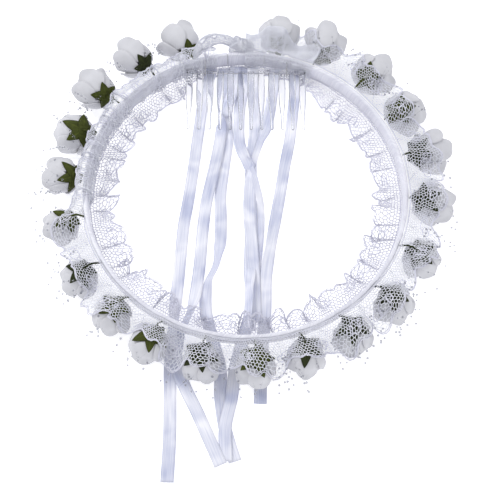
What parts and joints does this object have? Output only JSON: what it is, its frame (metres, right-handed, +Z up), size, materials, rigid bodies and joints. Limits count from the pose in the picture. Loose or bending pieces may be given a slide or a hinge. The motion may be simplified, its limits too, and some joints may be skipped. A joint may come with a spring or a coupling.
{
  "type": "flower crown",
  "caption": "White flower crown: satin-wrapped hoop ringed with foam roses on green calyxes, gathered lace ruffles, clear hair comb and long satin ribbon tails.",
  "frame": {"origin": "on the table the crown lies on, at the middle of the crown, measured without the ribbon tails", "axes": "+Z up from the table, towards the side that meets the head; +Y to the back, where the comb, the lace bow and the ribbon tails are; +X to the right when seen from the front"},
  "size_m": [0.222, 0.2687, 0.0273],
  "materials": {
    "rose_foam": "matte soft foam",
    "calyx_cloth": "stiffened woven cloth",
    "ribbon_satin": "satin",
    "band_satin": "satin",
    "lace_net": "fine net lace",
    "hoop_plastic": "plain strip",
    "clear_plastic": "clear moulded",
    "tie_thread": "twisted thread"
  },
  "bodies": {
    "crown": {"hoop_core": "hoop_plastic", "satin_wrap": "band_satin", "satin_back_sleeve": "band_satin", "rose_01": "rose_foam", "rose_02": "rose_foam", "rose_03": "rose_foam", "rose_04": "rose_foam", "rose_05": "rose_foam", "rose_06": "rose_foam", "rose_07": "rose_foam", "rose_08": "rose_foam", "rose_09": "rose_foam", "rose_10": "rose_foam", "rose_11": "rose_foam", "rose_12": "rose_foam", "rose_13": "rose_foam", "rose_14": "rose_foam", "rose_15": "rose_foam", "rose_16": "rose_foam", "rose_17": "rose_foam", "rose_18": "rose_foam", "rose_19": "rose_foam", "rose_20": "rose_foam", "rose_21": "rose_foam", "calyx_01": "calyx_cloth", "calyx_02": "calyx_cloth", "calyx_03": "calyx_cloth", "calyx_04": "calyx_cloth", "calyx_05": "calyx_cloth", "calyx_06": "calyx_cloth", "calyx_07": "calyx_cloth", "calyx_08": "calyx_cloth", "calyx_09": "calyx_cloth", "calyx_10": "calyx_cloth", "calyx_11": "calyx_cloth", "calyx_12": "calyx_cloth", "calyx_13": "calyx_cloth", "calyx_14": "calyx_cloth", "calyx_15": "calyx_cloth", "calyx_16": "calyx_cloth", "calyx_17": "calyx_cloth", "calyx_18": "calyx_cloth", "calyx_19": "calyx_cloth", "calyx_20": "calyx_cloth", "calyx_21": "calyx_cloth", "lace_inner_ruffle": "lace_net", "lace_outer_ruffle": "lace_net", "lace_bow_flap": "lace_net", "lace_bow_knot": "lace_net", "lace_bow_loop": "lace_net", "comb_tie_left": "tie_thread", "comb_tie_right": "tie_thread", "ribbon_tail_1": "ribbon_satin", "ribbon_tail_2": "ribbon_satin", "ribbon_tail_3": "ribbon_satin", "ribbon_tail_4": "ribbon_satin", "ribbon_tail_5": "ribbon_satin", "ribbon_tail_6": "ribbon_satin", "ribbon_tail_7": "ribbon_satin"},
    "comb": {"hair_comb": "clear_plastic"}
  },
  "joints": [
    {"name": "comb_swing", "type": "hinge", "parent": "crown", "child": "comb", "pos_m": [0, 0.0761, 0.014], "axis": [-1, 0, 0], "range_deg": [0, 95]}
  ]
}
